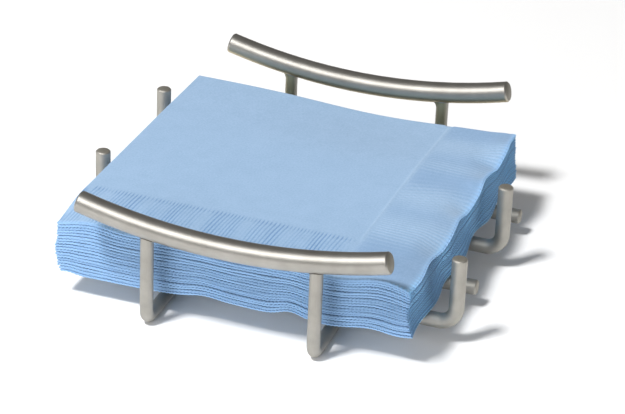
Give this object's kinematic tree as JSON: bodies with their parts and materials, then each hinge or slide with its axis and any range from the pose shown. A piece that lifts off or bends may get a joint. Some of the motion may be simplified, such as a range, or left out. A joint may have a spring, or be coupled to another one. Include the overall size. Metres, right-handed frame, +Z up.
{
  "type": "napkin holder",
  "caption": "Flat tray-style napkin holder of welded satin metal rods, with two curved bars and upright posts around a stack of square folded paper napkins.",
  "frame": {"origin": "on the table, under the middle of the holder", "axes": "+X along the thick bars to the right, +Y from the front bar to the back bar, +Z up"},
  "size_m": [0.19, 0.196, 0.0598],
  "materials": {
    "bar_metal": "satin",
    "leg_metal": "satin",
    "post_metal": "satin",
    "weld_metal": "matte",
    "napkin_paper": "matte"
  },
  "bodies": {
    "holder": {"front_bar": "bar_metal", "back_bar": "bar_metal", "left_leg_rod": "leg_metal", "right_leg_rod": "leg_metal", "front_right_post_rod": "post_metal", "front_left_post_rod": "post_metal", "back_right_post_rod": "post_metal", "back_left_post_rod": "post_metal", "bar_welds": "weld_metal", "crossing_welds": "weld_metal"},
    "napkin_stack": {"napkin_01": "napkin_paper", "napkin_02": "napkin_paper", "napkin_03": "napkin_paper", "napkin_04": "napkin_paper", "napkin_05": "napkin_paper", "napkin_06": "napkin_paper", "napkin_07": "napkin_paper", "napkin_08": "napkin_paper", "napkin_09": "napkin_paper", "napkin_10": "napkin_paper", "napkin_11": "napkin_paper", "napkin_12": "napkin_paper", "napkin_13": "napkin_paper", "napkin_14": "napkin_paper", "napkin_15": "napkin_paper", "napkin_16": "napkin_paper", "napkin_17": "napkin_paper"},
    "lifted_napkin": {"top_napkin": "napkin_paper"}
  },
  "joints": [
    {"name": "stack_lift", "type": "slide", "parent": "holder", "child": "napkin_stack", "axis": [0, 0, 1], "range_m": [0, 0.1]},
    {"name": "top_napkin_lift", "type": "slide", "parent": "napkin_stack", "child": "lifted_napkin", "axis": [0, 0, 1], "range_m": [0, 0.1]}
  ]
}
